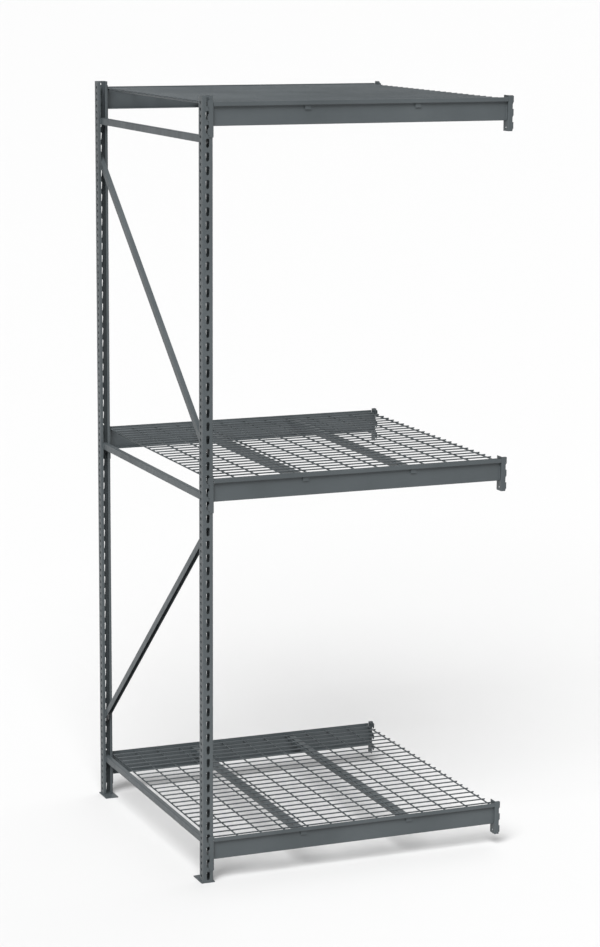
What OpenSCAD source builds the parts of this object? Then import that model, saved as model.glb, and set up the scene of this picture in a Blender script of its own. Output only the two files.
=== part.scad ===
/* [Upright] */
// Height of the posts above the floor
post_h = 3048; // [3023:25:3298]
// Width of each post, seen from the front
post_w = 42; // [40:1:46]
// Depth of each post, from its slotted face to its open side
post_d = 42; // [40:1:50]
// Outside depth of the upright, front post face to rear post face
rack_d = 1267; // [900:1:1400]
// Steel thickness of the posts
post_t = 2; // [1.6:0.1:2.4]

/* [Bay] */
// Clear width between the posts of one bay
clear_w = 1224; // [1100:1:1600]
// Number of slots from one level to the next
level_step = 28; // [24:1:28]

/* [Beams] */
// Height of a beam
beam_h = 90; // [80:1:94]
// Steel thickness of a beam
beam_t = 2; // [1.6:0.1:2.4]
// Depth of the ledge below the top edge of the beam
ledge_drop = 15; // [15:0.5:17]
// How far the beam's web stands back from its lip
web_setback = 12.3; // [10:0.1:16]

/* [Decks] */
// Diameter of the deck wire
wire_d = 5.6; // [5:0.1:6]
// Spacing of the wires that run across the bay
width_wire_pitch = 52.2; // [45:0.1:60]
// Spacing of the wires that run front to back
depth_wire_pitch = 100; // [80:1:120]

/* [Hidden] */
eps = 0.02;
// How far a cutter runs past the steel it cuts
cut = 1;
inch = 25.4;
weld_gap = 0.1;
slide_gap = 0.3;
bend_steps = 4;
hole_fn = 32;
steel = [0.37, 0.39, 0.40];
wire_steel = [0.40, 0.42, 0.43];

// Post slots: a teardrop, wide at its top, one every two inches
slot_pitch = 2 * inch;
slot_first = 5.5;
slot_h = 34;
slot_r_top = 7.2;
slot_r_bottom = 5.7;
slot_foot_margin = 8;
slot_count = floor((post_h - slot_first - slot_h - slot_foot_margin) / slot_pitch) + 1;
// Round holes in the side flanges, one every inch
side_hole_r = 6.35;
side_hole_y = 23.1;
side_hole_count = floor(post_h / inch) - 1;
post_bend = 2.2;
lip_w = 11.6;

// Base plates
plate_t = 4.5;
plate_x0 = -6.6;
plate_x1 = 48.9;
plate_len = 92;
anchor_r = 5.5;
anchor_inset = 14;

// Braces of the upright
brace_gap = 0.2;
brace_w = post_w - 2 * (lip_w + brace_gap);
brace_h = 27;
brace_t = 1.6;
brace_bend = 1.6;
brace_end = 17;
diagonal_over = 60;
top_brace_z = 2899.4;
middle_brace_z = 1541.8;
bottom_brace_z = 175.3;
// Centre height of each diagonal at the rear and front posts' centre lines
upper_diagonal = [2721, 1714];
lower_diagonal = [344, 1388];

// Top edge of the top beams, below the tops of the posts
top_level_drop = 23;

// Beam connectors
conn_t = 2.5;
conn_h = 138.6;
conn_rise = 7.5;
conn_reach = 16;
conn_leg = 40.8;
conn_bend = 2.6;
lock_hole_r = 4;
lock_hole_y = 17.2;
lock_hole_z = 14.5;
// Hooks, measured from the post's centre line and from the bottom of a slot
hook_x = 0.9;
hook_seat = 2.1;
hook_h = 14;
hook_claw = 11.5;
hook_depth = 13.5;
hook_chamfer = 4;
claw_gap = 0.5;
claw_tip = 5;
claw_slope = 7;
bump_h = 26;
bump_low = -4;

// Slots in the beam's ledge, and the deck supports whose tabs drop into them
ledge_slot_pitch = 6 * inch;
ledge_slot_len = 34;
ledge_slot_w = 5;
ledge_slot_y = 1.9;
ledge_slot_margin = 10;
support_w = 29;
support_h = 25;
support_t = 1.8;
support_bend = 1.8;
support_clear = 1.5;
tab_w = 25;
tab_y = 5.3;
tab_reach = 9;
tab_drop = 20;
flange_in = 25;

// Decks
width_wire_drop = 6.5;
wire_weld = 0.1;
width_wire_margin = 33.2;
deck_side_gap = 6;
wire_stub = 6;
depth_wire_gap = 2;

// Places that follow from the sizes above
lip_y = -slide_gap - conn_t;
x_min = plate_x0;
x_max = 2 * post_w + clear_w - post_w / 2 - hook_x;
mid_x = (x_min + x_max) / 2;
mid_y = rack_d / 2;
bay_mid_x = post_w + clear_w / 2;
beam_x0 = post_w + slide_gap + conn_t + weld_gap;
beam_x1 = 2 * bay_mid_x - beam_x0;
beam_l = beam_x1 - beam_x0;
ledge_slots = floor((beam_l - ledge_slot_len - 2 * ledge_slot_margin) / ledge_slot_pitch) + 1;
ledge_slot_x0 = bay_mid_x - (ledge_slots - 1) * ledge_slot_pitch / 2;
support_slot = 2;
web_in = lip_y + web_setback + beam_t;
width_wire_count = round((rack_d - 2 * width_wire_margin) / width_wire_pitch) + 1;
width_wire_step = (rack_d - 2 * width_wire_margin) / (width_wire_count - 1);
deck_x0 = post_w + deck_side_gap;
deck_x1 = 2 * bay_mid_x - deck_x0;
depth_wire_span = deck_x1 - deck_x0 - 2 * wire_stub;
depth_wire_count = round(depth_wire_span / depth_wire_pitch) + 1;
depth_wire_step = depth_wire_span / (depth_wire_count - 1);
level_drop = level_step * slot_pitch;
top_level_z = post_h - top_level_drop;
LEVELS = ["top", "middle", "bottom"];
level_z = [for (i = [0:2]) top_level_z - i * level_drop];
level_slot = [for (i = [0:2]) i * level_step];

// ---- Sheet metal outlines -------------------------------------------------

function unit(v) = v / norm(v);
function left_of(v) = [-v[1], v[0]];

// Rounded corner at p between directions u and w, offset by s to the left
function bend(p, u, w, r, s) =
  let (rho = r - s * sign(cross(u, w)))
  [for (k = [0:bend_steps])
    let (a = 90 * k / bend_steps)
    p + r * (w - u) + rho * (u * sin(a) - w * cos(a))];

// One side of a folded sheet whose middle line is path
function sheet_side(path, r, s) =
  let (n = len(path))
  concat(
    [path[0] + s * left_of(unit(path[1] - path[0]))],
    [for (i = [1:1:n - 2])
      each bend(path[i], unit(path[i] - path[i - 1]), unit(path[i + 1] - path[i]), r, s)],
    [path[n - 1] + s * left_of(unit(path[n - 1] - path[n - 2]))]
  );

function reversed(v) = [for (i = [len(v) - 1:-1:0]) v[i]];

// Section of a sheet of thickness t folded at right angles along path
module sheet(path, t, r) {
  polygon(concat(sheet_side(path, r, t / 2), reversed(sheet_side(path, r, -t / 2))));
}

// Extrudes a section drawn in Y and Z along X, from x0 to x1
module along_x(x0, x1) {
  translate([x0, 0, 0])
    rotate([90, 0, 90])
      linear_extrude(height = x1 - x0)
        children();
}

// Puts bay coordinates, whose zero is the front post's outer corner, in the rack's frame
module placed() {
  translate([-mid_x, -mid_y, 0]) children();
}

// Draws children at the front, or their mirror image at the rear
module at_side(rear) {
  if (rear)
    translate([0, rack_d, 0]) mirror([0, 1, 0]) children();
  else
    children();
}

// Draws children at the left end of the bay, or their mirror image at the right
module at_end(right) {
  if (right)
    translate([2 * bay_mid_x, 0, 0]) mirror([1, 0, 0]) children();
  else
    children();
}

// ---- Upright --------------------------------------------------------------

function slot_top_z(k) = post_h - slot_first - slot_pitch * k;
function slot_bottom_z(k) = slot_top_z(k) - slot_h;

// Teardrop, its top at zero
module slot_shape() {
  z_top = -slot_r_top;
  z_bottom = -slot_h + slot_r_bottom;
  half_top = slot_r_top - eps;
  half_bottom = slot_r_bottom - eps;
  translate([0, z_top]) circle(r = slot_r_top, $fn = hole_fn);
  translate([0, z_bottom]) circle(r = slot_r_bottom, $fn = hole_fn);
  polygon([[-half_top, z_top], [-half_bottom, z_bottom],
           [half_bottom, z_bottom], [half_top, z_top]]);
}

module post_section() {
  m = post_t / 2;
  sheet([[lip_w, post_d - m], [m, post_d - m], [m, m],
         [post_w - m, m], [post_w - m, post_d - m], [post_w - lip_w, post_d - m]],
        post_t, post_bend);
}

module post() {
  difference() {
    translate([0, 0, plate_t])
      linear_extrude(height = post_h - plate_t) post_section();
    for (k = [0:slot_count - 1])
      translate([post_w / 2, post_t + cut, slot_top_z(k)])
        rotate([90, 0, 0])
          linear_extrude(height = post_t + 2 * cut) slot_shape();
    for (m = [1:side_hole_count])
      translate([-cut, side_hole_y, post_h - inch * m])
        rotate([0, 90, 0])
          cylinder(r = side_hole_r, h = post_w + 2 * cut, $fn = hole_fn);
  }
}

module base_plate() {
  difference() {
    translate([plate_x0, 0, 0])
      cube([plate_x1 - plate_x0, plate_len, plate_t]);
    translate([post_w / 2, plate_len - anchor_inset, -cut])
      cylinder(r = anchor_r, h = plate_t + 2 * cut, $fn = hole_fn);
  }
}

module front_post() {
  color(steel) post();
}

module rear_post() {
  color(steel) at_side(true) post();
}

module front_base_plate() {
  color(steel) base_plate();
}

module rear_base_plate() {
  color(steel) at_side(true) base_plate();
}

// Channel that opens downwards, its top edge at zero
module brace_section() {
  m = brace_t / 2;
  left = (post_w - brace_w) / 2 + m;
  right = (post_w + brace_w) / 2 - m;
  sheet([[left, -brace_h], [left, -m], [right, -m], [right, -brace_h]],
        brace_t, brace_bend);
}

// Channel that runs from front to rear, its top edge at height z
module level_brace(z) {
  color(steel)
    translate([0, rack_d - brace_end, z])
      rotate([90, 0, 0])
        linear_extrude(height = rack_d - 2 * brace_end) brace_section();
}

// Channel between two heights at the post centre lines, cut off upright at both ends
module diagonal(heights) {
  run = rack_d - post_d;
  rise = heights[0] - heights[1];
  slope = atan2(rise, run);
  length = norm([run, rise]);
  color(steel)
    intersection() {
      translate([0, post_d / 2, heights[1]])
        rotate([slope, 0, 0])
          translate([0, length + diagonal_over, brace_h / 2])
            rotate([90, 0, 0])
              linear_extrude(height = length + 2 * diagonal_over) brace_section();
      translate([0, brace_end, 0])
        cube([post_w, rack_d - 2 * brace_end, post_h]);
    }
}

module top_brace() {
  level_brace(top_brace_z);
}

module middle_brace() {
  level_brace(middle_brace_z);
}

module bottom_brace() {
  level_brace(bottom_brace_z);
}

// ---- Beams and connectors -------------------------------------------------

// Step section: lip, ledge, web and a flange turned under the deck
module beam_section() {
  m = beam_t / 2;
  lip_mid = lip_y + m;
  web_mid = web_in - m;
  sheet([[lip_mid, 0], [lip_mid, -ledge_drop - m], [web_mid, -ledge_drop - m],
         [web_mid, m - beam_h], [web_in + flange_in, m - beam_h]],
        beam_t, beam_t);
}

module beam(z) {
  color(steel)
    difference() {
      translate([0, 0, z])
        along_x(beam_x0, beam_x1) beam_section();
      for (i = [0:ledge_slots - 1])
        translate([ledge_slot_x0 + i * ledge_slot_pitch - ledge_slot_len / 2,
                   ledge_slot_y, z - ledge_drop - beam_t - cut])
          cube([ledge_slot_len, ledge_slot_w, beam_t + 2 * cut]);
    }
}

// Plate with a claw that drops behind the slotted face of a post
module hook(z_bottom) {
  claw_y = post_t + claw_gap;
  seat = z_bottom + hook_seat;
  z_top = seat + hook_h;
  tip = seat - hook_claw;
  y0 = lip_y + conn_t / 2;
  along_x(post_w / 2 + hook_x, post_w / 2 + hook_x + conn_t)
    polygon([[y0, seat], [claw_y, seat], [claw_y, tip], [claw_y + claw_tip, tip],
             [hook_depth, tip + claw_slope], [hook_depth, z_top - hook_chamfer],
             [hook_depth - hook_chamfer, z_top], [y0, z_top]]);
}

// Angle with one leg over the post's face and one against the beam's end
module connector_angle(z_top) {
  m = conn_t / 2;
  x0 = post_w / 2 + hook_x;
  corner_x = post_w + slide_gap + m;
  translate([0, 0, z_top - conn_h])
    linear_extrude(height = conn_h)
      sheet([[x0, lip_y + m], [corner_x, lip_y + m], [corner_x, lip_y + conn_leg]],
            conn_t, conn_bend);
}

// Cuts the post leg back between the bumps that carry the hooks
module connector_notches(z_top, first_slot) {
  z_low = z_top - conn_h;
  edges = concat([z_top + cut],
    [for (k = [0:2]) each [slot_bottom_z(first_slot + k) + bump_low + bump_h,
                           slot_bottom_z(first_slot + k) + bump_low]],
    [z_low - cut]);
  for (i = [0:2:6])
    translate([0, lip_y - cut, edges[i + 1]])
      cube([post_w - conn_reach, conn_t + 2 * cut, edges[i] - edges[i + 1]]);
}

module connector(level) {
  z_top = level_z[level] + conn_rise;
  color(steel)
    union() {
      difference() {
        connector_angle(z_top);
        connector_notches(z_top, level_slot[level]);
        translate([post_w, lock_hole_y, z_top - conn_h + lock_hole_z])
          rotate([0, 90, 0])
            cylinder(r = lock_hole_r, h = conn_t + 2 * cut, $fn = hole_fn);
      }
      for (k = [0:2])
        hook(slot_bottom_z(level_slot[level] + k));
    }
}

// ---- Decks and their supports ---------------------------------------------

// Strip that runs over the ledge and turns down through one of its slots
module support_tab(x, z) {
  m = support_t / 2;
  z_mid = z - ledge_drop + weld_gap + m;
  along_x(x - tab_w / 2, x + tab_w / 2)
    sheet([[web_in + tab_reach, z_mid], [tab_y, z_mid], [tab_y, z_mid - tab_drop]],
          support_t, support_bend);
}

// Upside-down channel between the webs of the front and rear beams
module deck_support(level, slot) {
  x = ledge_slot_x0 + slot * ledge_slot_pitch;
  z = level_z[level];
  m = support_t / 2;
  half = support_w / 2 - m;
  z_top = z - ledge_drop + weld_gap + support_t;
  y0 = web_in + support_clear;
  color(steel)
    union() {
      translate([x, rack_d - y0, z_top])
        rotate([90, 0, 0])
          linear_extrude(height = rack_d - 2 * y0)
            sheet([[-half, -support_h], [-half, -m], [half, -m], [half, -support_h]],
                  support_t, support_bend);
      for (rear = [false, true])
        at_side(rear) support_tab(x, z);
    }
}

// Wires that run from the left to the right end of the bay
module width_wires(level) {
  z = level_z[level] - width_wire_drop;
  color(wire_steel)
    for (i = [0:width_wire_count - 1])
      translate([deck_x0, width_wire_margin + i * width_wire_step, z])
        rotate([0, 90, 0])
          cylinder(d = wire_d, h = deck_x1 - deck_x0, $fn = hole_fn);
}

// Wires that run from front to rear and rest on the beams' ledges
module depth_wires(level) {
  z = level_z[level] - width_wire_drop - wire_d + wire_weld;
  color(wire_steel)
    for (i = [0:depth_wire_count - 1])
      translate([deck_x0 + wire_stub + i * depth_wire_step, depth_wire_gap, z])
        rotate([-90, 0, 0])
          cylinder(d = wire_d, h = rack_d - 2 * depth_wire_gap, $fn = hole_fn);
}

// ---- Nodes ----------------------------------------------------------------

placed() front_post();
placed() rear_post();
placed() front_base_plate();
placed() rear_base_plate();
placed() top_brace();
placed() middle_brace();
placed() bottom_brace();
placed() diagonal(upper_diagonal);
placed() diagonal(lower_diagonal);
for (i = [0:2]) {
  name = LEVELS[i];
  placed() beam(level_z[i]);
  placed() at_side(true) beam(level_z[i]);
  placed() connector(i);
  placed() at_end(true) connector(i);
  placed() at_side(true) connector(i);
  placed() at_side(true) at_end(true) connector(i);
  placed() deck_support(i, support_slot);
  placed() deck_support(i, ledge_slots - 1 - support_slot);
  placed() width_wires(i);
  placed() depth_wires(i);
}
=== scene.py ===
"""Looks for an add-on bay of boltless bulk storage rack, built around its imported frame.

Every CAD node keeps its shape and gets a powder-coat material and a small edge rounding.
The pieces added here are the weld beads and the weld nuggets at the deck wires' crossings.
Lengths are in metres, in the frame's own axes.
"""

import math
import random

import bmesh
import bpy
from mathutils import Matrix, Vector


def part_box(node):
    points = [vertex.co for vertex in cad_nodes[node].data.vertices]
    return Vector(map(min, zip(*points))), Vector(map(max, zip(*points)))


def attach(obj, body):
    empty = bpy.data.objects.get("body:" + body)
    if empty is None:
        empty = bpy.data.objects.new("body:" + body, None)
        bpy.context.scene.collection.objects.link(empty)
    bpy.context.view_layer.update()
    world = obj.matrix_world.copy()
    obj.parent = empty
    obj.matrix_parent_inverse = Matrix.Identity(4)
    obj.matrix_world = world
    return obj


LEVELS = ("top", "middle", "bottom")

# Camera, solved for the view from the front left, a little above the top deck
CAMERA_PLACE = (-4.19123, -10.15356, 3.54909)
CAMERA_YAW = 0.39284
CAMERA_PITCH = 0.18641
CAMERA_ROLL = 0.00531
SENSOR_WIDTH = 36.0
LENS = 163.606
SHIFT_X = 0.00222
SHIFT_Y = -0.00170
CAMERA_FAR = 2000.0

# Studio: even surroundings and two large soft lights, each with the direction it shines along,
# its strength and its width in degrees
WORLD_STRENGTH = 0.30
KEY_DIRECTION = (0.52, 0.72, -0.95)
KEY_STRENGTH = 4.95
KEY_WIDTH = 40
FILL_DIRECTION = (-0.6, -0.5, -0.6)
FILL_STRENGTH = 0.8
FILL_WIDTH = 60
FLOOR_SIZE = 900.0
FLOOR_COLOR = (0.62, 0.62, 0.62)

# Powder coat of the sheet parts and of the wires. PEEL is the noise scale of its orange peel.
COAT_COLOR = (0.056, 0.066, 0.071)
COAT_DARK = (0.046, 0.055, 0.059)
COAT_LIGHT = (0.067, 0.078, 0.083)
COAT_ROUGHNESS = 0.46
COAT_PEEL = 420.0
WIRE_COLOR = (0.053, 0.062, 0.067)
WIRE_DARK = (0.043, 0.051, 0.055)
WIRE_LIGHT = (0.064, 0.074, 0.079)
WIRE_ROUGHNESS = 0.42
WIRE_PEEL = 600.0

# Edge rounding of cut and folded sheet, and of the wires' ends
EDGE_ROUND = 0.00045
EDGE_SEGMENTS = 2
JOIN_DISTANCE = 0.00002
SHEET_SHARP_ANGLE = math.radians(38)
WIRE_SHARP_ANGLE = math.radians(60)
FLAT_FACE_WEIGHT = 80

# Welds
BEAD_RADIUS = 0.0028
WEB_BEAD_RADIUS = 0.0024
BRACE_BEAD_RADIUS = 0.0019
BEAD_RIPPLE = 0.00045
BEAD_RIPPLE_PITCH = 0.0035
BEAD_SIDES = 8
BEAD_STEPS_PER_RIPPLE = 4
BEAD_LEAST_STEPS = 6
BEAD_END_POWER = 12
BEAD_END_SHARE = 0.15
BEAD_INSET = 0.004
PLATE_BEAD_LIFT = 0.0004
# Middle of a beam's web behind the face of its lip, and the height of its step
WEB_DEPTH = 0.0133
STEP_HEIGHT = 0.022
NUGGET_WIDE = 0.0046
NUGGET_TALL = 0.0022
NUGGET_LEAST = 0.85
NUGGET_MOST_WIDE = 1.1
NUGGET_MOST_TALL = 1.15
RANDOM_SEED = 7

# Braces taller than this are diagonals. Points this near a diagonal's end belong to that end.
LEVEL_BRACE_TALL = 0.05
END_SLICE = 0.001
# Points of one wire lie closer together than this, points of two wires further apart
WIRE_SPACE = 0.01

BRACES = ("top_brace", "middle_brace", "bottom_brace", "upper_diagonal", "lower_diagonal")
SIDES = ("front", "rear")


# ---- Materials -------------------------------------------------------------


def new_material(name):
    """Empty node material with its Principled shader and its output."""
    material = bpy.data.materials.new(name)
    material.use_nodes = True
    nodes = material.node_tree.nodes
    nodes.clear()
    output = nodes.new("ShaderNodeOutputMaterial")
    shader = nodes.new("ShaderNodeBsdfPrincipled")
    material.node_tree.links.new(shader.outputs["BSDF"], output.inputs["Surface"])
    return material, shader


def add_noise(material, scale, detail, roughness=0.5, stretch=(1.0, 1.0, 1.0)):
    """Noise over the object's own coordinates, in metres. Returns its Fac output."""
    tree = material.node_tree
    coords = tree.nodes.new("ShaderNodeTexCoord")
    mapping = tree.nodes.new("ShaderNodeMapping")
    mapping.inputs["Scale"].default_value = stretch
    noise = tree.nodes.new("ShaderNodeTexNoise")
    noise.inputs["Scale"].default_value = scale
    noise.inputs["Detail"].default_value = detail
    noise.inputs["Roughness"].default_value = roughness
    tree.links.new(coords.outputs["Object"], mapping.inputs["Vector"])
    tree.links.new(mapping.outputs["Vector"], noise.inputs["Vector"])
    return noise.outputs["Fac"]


def add_ramp(material, value, stops):
    """Colour ramp over value. stops is a list of (position, (r, g, b))."""
    tree = material.node_tree
    ramp = tree.nodes.new("ShaderNodeValToRGB")
    elements = ramp.color_ramp.elements
    while len(elements) < len(stops):
        elements.new(0.5)
    for element, (position, color) in zip(elements, stops):
        element.position = position
        element.color = (*color, 1.0)
    tree.links.new(value, ramp.inputs["Fac"])
    return ramp.outputs["Color"]


def add_range(material, value, low, high, from_low=0.3, from_high=0.7):
    """Maps value from its usual spread to low..high."""
    tree = material.node_tree
    node = tree.nodes.new("ShaderNodeMapRange")
    node.inputs["From Min"].default_value = from_low
    node.inputs["From Max"].default_value = from_high
    node.inputs["To Min"].default_value = low
    node.inputs["To Max"].default_value = high
    tree.links.new(value, node.inputs["Value"])
    return node.outputs["Result"]


def add_bump(material, height, strength, distance, normal=None):
    """Bump from a height value, optionally on top of another bump."""
    tree = material.node_tree
    bump = tree.nodes.new("ShaderNodeBump")
    bump.inputs["Strength"].default_value = strength
    bump.inputs["Distance"].default_value = distance
    tree.links.new(height, bump.inputs["Height"])
    if normal is not None:
        tree.links.new(normal, bump.inputs["Normal"])
    return bump.outputs["Normal"]


def mix_colors(material, factor, color_a, color_b):
    """Mixes two colour outputs by a factor output."""
    tree = material.node_tree
    mix = tree.nodes.new("ShaderNodeMix")
    mix.data_type = "RGBA"
    tree.links.new(factor, mix.inputs["Factor"])
    tree.links.new(color_a, mix.inputs["A"])
    tree.links.new(color_b, mix.inputs["B"])
    return mix.outputs["Result"]


def powder_coat(name, dark, middle, light, roughness, peel_scale):
    """Semi-gloss powder coat: soft clouds of tone, fine speckle, scuffed gloss, dents, orange peel."""
    material, shader = new_material(name)
    links = material.node_tree.links

    clouds = add_noise(material, scale=2.6, detail=4.0, roughness=0.55)
    base = add_ramp(material, clouds, [(0.32, dark), (0.5, middle), (0.68, light)])
    speckle = add_noise(material, scale=900.0, detail=2.0, roughness=0.6)
    grain = add_ramp(material, speckle, [(0.35, dark), (0.65, light)])
    patches = add_noise(material, scale=11.0, detail=3.0)
    grain_share = add_range(material, patches, low=0.06, high=0.22)
    color = mix_colors(material, grain_share, base, grain)
    links.new(color, shader.inputs["Base Color"])

    scuffs = add_noise(material, scale=34.0, detail=6.0, roughness=0.62, stretch=(1.0, 1.0, 0.28))
    gloss = add_range(material, scuffs, low=roughness - 0.07, high=roughness + 0.09)
    links.new(gloss, shader.inputs["Roughness"])

    peel = add_noise(material, scale=peel_scale, detail=2.0, roughness=0.5)
    dents = add_noise(material, scale=18.0, detail=2.0, roughness=0.4)
    normal = add_bump(material, dents, strength=0.10, distance=0.0006)
    normal = add_bump(material, peel, strength=0.22, distance=0.00035, normal=normal)
    links.new(normal, shader.inputs["Normal"])

    shader.inputs["Metallic"].default_value = 0.0
    shader.inputs["Specular IOR Level"].default_value = 0.4
    shader.inputs["Coat Weight"].default_value = 0.06
    shader.inputs["Coat Roughness"].default_value = 0.3
    return material


def coated_weld(name):
    """The same coat over a weld, a little rougher and unevenly darker."""
    material, shader = new_material(name)
    links = material.node_tree.links
    spots = add_noise(material, scale=260.0, detail=4.0, roughness=0.6)
    color = add_ramp(material, spots, [(0.35, COAT_DARK), (0.7, COAT_COLOR)])
    links.new(color, shader.inputs["Base Color"])
    gloss = add_range(material, spots, low=0.46, high=0.62)
    links.new(gloss, shader.inputs["Roughness"])
    normal = add_bump(material, spots, strength=0.35, distance=0.0004)
    links.new(normal, shader.inputs["Normal"])
    return material


def floor_material():
    """Plain pale floor."""
    material, shader = new_material("pale_floor")
    shader.inputs["Base Color"].default_value = (*FLOOR_COLOR, 1.0)
    shader.inputs["Roughness"].default_value = 0.9
    shader.inputs["Specular IOR Level"].default_value = 0.1
    return material


# ---- CAD nodes -------------------------------------------------------------


def dress(node, material, sharp_angle):
    """Gives a CAD node its material, joined faces, smooth sides and a small edge rounding."""
    node.data.materials.clear()
    node.data.materials.append(material)
    for polygon in node.data.polygons:
        polygon.use_smooth = True
    join = node.modifiers.new("join", "WELD")
    join.merge_threshold = JOIN_DISTANCE
    edge = node.modifiers.new("edge", "BEVEL")
    edge.width = EDGE_ROUND
    edge.segments = EDGE_SEGMENTS
    edge.limit_method = "ANGLE"
    edge.angle_limit = sharp_angle


def dress_sheet(node, material):
    """Dresses a sheet part, whose flat faces keep their own shading beside the folds."""
    dress(node, material, SHEET_SHARP_ANGLE)
    normals = node.modifiers.new("normals", "WEIGHTED_NORMAL")
    normals.keep_sharp = True
    normals.weight = FLAT_FACE_WEIGHT


# ---- Welds -----------------------------------------------------------------


def mesh_piece(name, bm, material, body):
    """Makes an object of a bmesh, with its material, and puts it on a body."""
    mesh = bpy.data.meshes.new(name)
    bm.to_mesh(mesh)
    bm.free()
    for polygon in mesh.polygons:
        polygon.use_smooth = True
    mesh.materials.append(material)
    piece = bpy.data.objects.new(name, mesh)
    bpy.context.scene.collection.objects.link(piece)
    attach(piece, body)
    return piece


def add_bead(bm, start, end, radius=BEAD_RADIUS):
    """Rippled weld bead with rounded ends between two points."""
    start = Vector(start)
    end = Vector(end)
    length = (end - start).length
    turn = (end - start).to_track_quat("Z", "Y").to_matrix().to_4x4()
    place = Matrix.Translation(start) @ turn
    steps = max(BEAD_LEAST_STEPS, int(length / BEAD_RIPPLE_PITCH * BEAD_STEPS_PER_RIPPLE))
    rings = []
    for i in range(steps + 1):
        t = i / steps
        z = length * t
        ripple = BEAD_RIPPLE * math.sin(2 * math.pi * z / BEAD_RIPPLE_PITCH)
        taper = math.sqrt(max(0.0, 1.0 - abs(2 * t - 1) ** BEAD_END_POWER))
        r = max(radius * BEAD_END_SHARE, (radius + ripple) * taper)
        ring = []
        for k in range(BEAD_SIDES):
            angle = 2 * math.pi * k / BEAD_SIDES
            point = Vector((r * math.cos(angle), r * math.sin(angle), z))
            ring.append(bm.verts.new(place @ point))
        rings.append(ring)
    for low, high in zip(rings, rings[1:]):
        for k in range(BEAD_SIDES):
            j = (k + 1) % BEAD_SIDES
            bm.faces.new((low[k], low[j], high[j], high[k]))
    bm.faces.new(list(reversed(rings[0])))
    bm.faces.new(rings[-1])


def brace_welds(material):
    """Beads between each brace and the return lips of both posts."""
    bm = bmesh.new()
    for name in BRACES:
        add_brace_beads(bm, name)
    return mesh_piece("brace_welds", bm, material, "upright")


def height_near(node, y):
    """Lowest and highest point of a brace at a place along Y."""
    low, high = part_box(node)
    if high.z - low.z < LEVEL_BRACE_TALL:
        return low.z, high.z
    # A diagonal is straight, so its height follows from its two ends
    points = [v.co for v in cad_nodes[node].data.vertices]
    at_low = [p.z for p in points if p.y < low.y + END_SLICE]
    at_high = [p.z for p in points if p.y > high.y - END_SLICE]
    t = (y - low.y) / (high.y - low.y)
    bottom = min(at_low) * (1 - t) + min(at_high) * t
    top = max(at_low) * (1 - t) + max(at_high) * t
    return bottom, top


def add_brace_beads(bm, name):
    """Upright beads where one brace passes between the lips of each post."""
    low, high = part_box(name)
    for post in ("front_post", "rear_post"):
        post_low, post_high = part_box(post)
        lip = post_high.y if post == "front_post" else post_low.y
        bottom, top = height_near(name, lip)
        for x in (low.x, high.x):
            start = (x, lip, bottom + BEAD_INSET)
            end = (x, lip, top - BEAD_INSET)
            add_bead(bm, start, end, BRACE_BEAD_RADIUS)


def plate_welds(material):
    """Beads along both flanges of each post, on its base plate."""
    bm = bmesh.new()
    for side in SIDES:
        low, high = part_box(f"{side}_post")
        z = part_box(f"{side}_base_plate")[1].z + PLATE_BEAD_LIFT
        for x in (low.x, high.x):
            add_bead(bm, (x, low.y + BEAD_INSET, z), (x, high.y - BEAD_INSET, z))
    return mesh_piece("foot_welds", bm, material, "upright")


def connector_welds(level, material):
    """Beads between the ends of both beams and their connectors."""
    bm = bmesh.new()
    for side in SIDES:
        low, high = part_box(f"{level}_{side}_beam")
        web_y = low.y + WEB_DEPTH if side == "front" else high.y - WEB_DEPTH
        for x in (low.x, high.x):
            bottom = low.z + BEAD_INSET
            top = high.z - STEP_HEIGHT
            add_bead(bm, (x, web_y, bottom), (x, web_y, top), WEB_BEAD_RADIUS)
    return mesh_piece(f"{level}_beam_welds", bm, material, f"{level}_level")


# ---- Deck wires ------------------------------------------------------------


def wire_places(node, axis):
    """Middle places of the separate wires of a node along an axis."""
    values = sorted(v.co[axis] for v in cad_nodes[node].data.vertices)
    places = []
    group = [values[0]]
    for value in values[1:]:
        if value - group[-1] > WIRE_SPACE:
            places.append((group[0] + group[-1]) / 2)
            group = []
        group.append(value)
    places.append((group[0] + group[-1]) / 2)
    return places


def unit_ball():
    """Points and faces of a coarse ball of radius 1."""
    bm = bmesh.new()
    bmesh.ops.create_icosphere(bm, subdivisions=1, radius=1.0)
    points = [v.co.copy() for v in bm.verts]
    faces = [[v.index for v in f.verts] for f in bm.faces]
    bm.free()
    return points, faces


def deck_nuggets(level, material):
    """One flattened ball of squeezed steel at each crossing of a deck's wires."""
    rng = random.Random(RANDOM_SEED + LEVELS.index(level))
    points, faces = unit_ball()
    xs = wire_places(f"{level}_depth_wires", 0)
    ys = wire_places(f"{level}_width_wires", 1)
    z = (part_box(f"{level}_width_wires")[0].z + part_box(f"{level}_depth_wires")[1].z) / 2
    bm = bmesh.new()
    for x in xs:
        for y in ys:
            wide = NUGGET_WIDE * rng.uniform(NUGGET_LEAST, NUGGET_MOST_WIDE)
            deep = NUGGET_WIDE * rng.uniform(NUGGET_LEAST, NUGGET_MOST_WIDE)
            tall = NUGGET_TALL * rng.uniform(NUGGET_LEAST, NUGGET_MOST_TALL)
            verts = [bm.verts.new((x + p.x * wide, y + p.y * deep, z + p.z * tall)) for p in points]
            for face in faces:
                bm.faces.new([verts[i] for i in face])
    return mesh_piece(f"{level}_wire_welds", bm, material, f"{level}_deck")


# ---- Stage -----------------------------------------------------------------


def add_floor():
    """Plain pale floor under the posts."""
    bpy.ops.mesh.primitive_plane_add(size=FLOOR_SIZE, location=(0, 0, 0))
    floor = bpy.context.object
    floor.name = "floor"
    floor.data.materials.append(floor_material())


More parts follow.
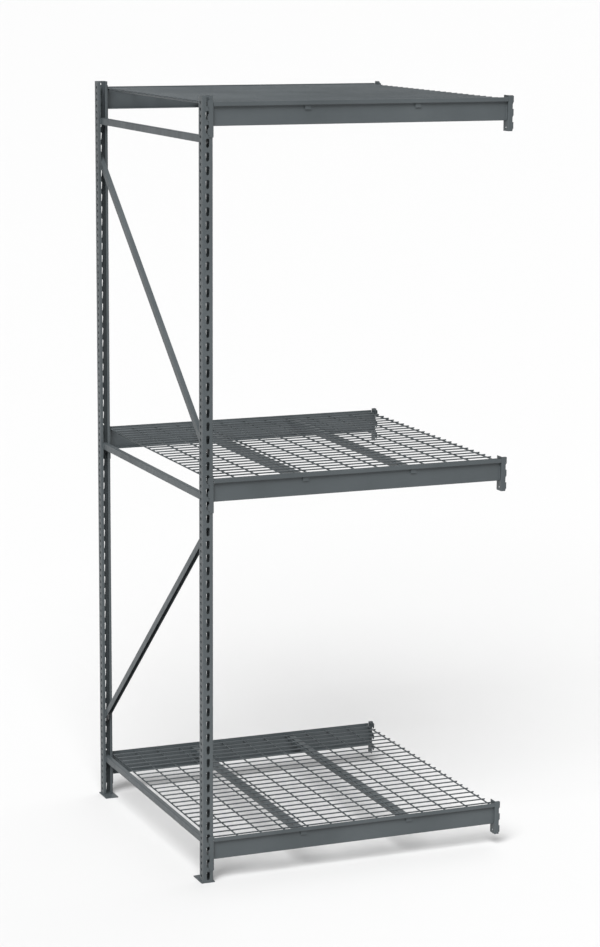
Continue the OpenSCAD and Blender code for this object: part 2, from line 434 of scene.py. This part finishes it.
def add_world(strength):
    """Even white surroundings."""
    world = bpy.data.worlds.new("studio")
    world.use_nodes = True
    background = world.node_tree.nodes["Background"]
    background.inputs["Color"].default_value = (1.0, 1.0, 1.0, 1.0)
    background.inputs["Strength"].default_value = strength
    bpy.context.scene.world = world


def add_sun(name, direction, strength, width):
    """Large soft light that shines along a direction, width degrees wide in the sky."""
    light = bpy.data.lights.new(name, "SUN")
    light.energy = strength
    light.angle = math.radians(width)
    lamp = bpy.data.objects.new(name, light)
    lamp.rotation_euler = Vector(direction).to_track_quat("-Z", "Y").to_euler()
    bpy.context.scene.collection.objects.link(lamp)


def add_camera():
    """Camera at the solved place, turned by yaw, pitch and roll."""
    data = bpy.data.cameras.new("view")
    data.sensor_fit = "HORIZONTAL"
    data.sensor_width = SENSOR_WIDTH
    data.lens = LENS
    data.shift_x = SHIFT_X
    data.shift_y = SHIFT_Y
    data.clip_end = CAMERA_FAR
    camera = bpy.data.objects.new("view", data)
    forward = Vector((
        math.sin(CAMERA_YAW) * math.cos(CAMERA_PITCH),
        math.cos(CAMERA_YAW) * math.cos(CAMERA_PITCH),
        -math.sin(CAMERA_PITCH),
    ))
    level_right = Vector((math.cos(CAMERA_YAW), -math.sin(CAMERA_YAW), 0.0))
    level_up = level_right.cross(forward)
    right = math.cos(CAMERA_ROLL) * level_right + math.sin(CAMERA_ROLL) * level_up
    up = -math.sin(CAMERA_ROLL) * level_right + math.cos(CAMERA_ROLL) * level_up
    turn = Matrix((right, up, -forward)).transposed()
    camera.matrix_world = Matrix.Translation(CAMERA_PLACE) @ turn.to_4x4()
    bpy.context.scene.collection.objects.link(camera)
    bpy.context.scene.camera = camera


# ---- Build -----------------------------------------------------------------

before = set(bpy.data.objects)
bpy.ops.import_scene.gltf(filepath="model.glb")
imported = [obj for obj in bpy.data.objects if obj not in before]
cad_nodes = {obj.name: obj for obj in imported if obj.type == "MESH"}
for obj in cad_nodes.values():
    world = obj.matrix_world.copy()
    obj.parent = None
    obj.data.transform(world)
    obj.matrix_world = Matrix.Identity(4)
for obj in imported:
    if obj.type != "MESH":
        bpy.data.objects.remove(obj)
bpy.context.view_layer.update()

add_camera()
add_floor()
add_world(WORLD_STRENGTH)
add_sun("key", KEY_DIRECTION, KEY_STRENGTH, KEY_WIDTH)
add_sun("fill", FILL_DIRECTION, FILL_STRENGTH, FILL_WIDTH)

coat = powder_coat("powder_coat", COAT_DARK, COAT_COLOR, COAT_LIGHT, COAT_ROUGHNESS, COAT_PEEL)
wire_coat = powder_coat("wire_coat", WIRE_DARK, WIRE_COLOR, WIRE_LIGHT, WIRE_ROUGHNESS, WIRE_PEEL)
weld_coat = coated_weld("weld_coat")

for node_name, node_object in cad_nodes.items():
    if node_name.endswith("_wires"):
        dress(node_object, wire_coat, WIRE_SHARP_ANGLE)
    else:
        dress_sheet(node_object, coat)

brace_welds(weld_coat)
plate_welds(weld_coat)
for level_name in LEVELS:
    connector_welds(level_name, weld_coat)
    deck_nuggets(level_name, wire_coat)

bpy.context.scene.view_settings.view_transform = "Standard"
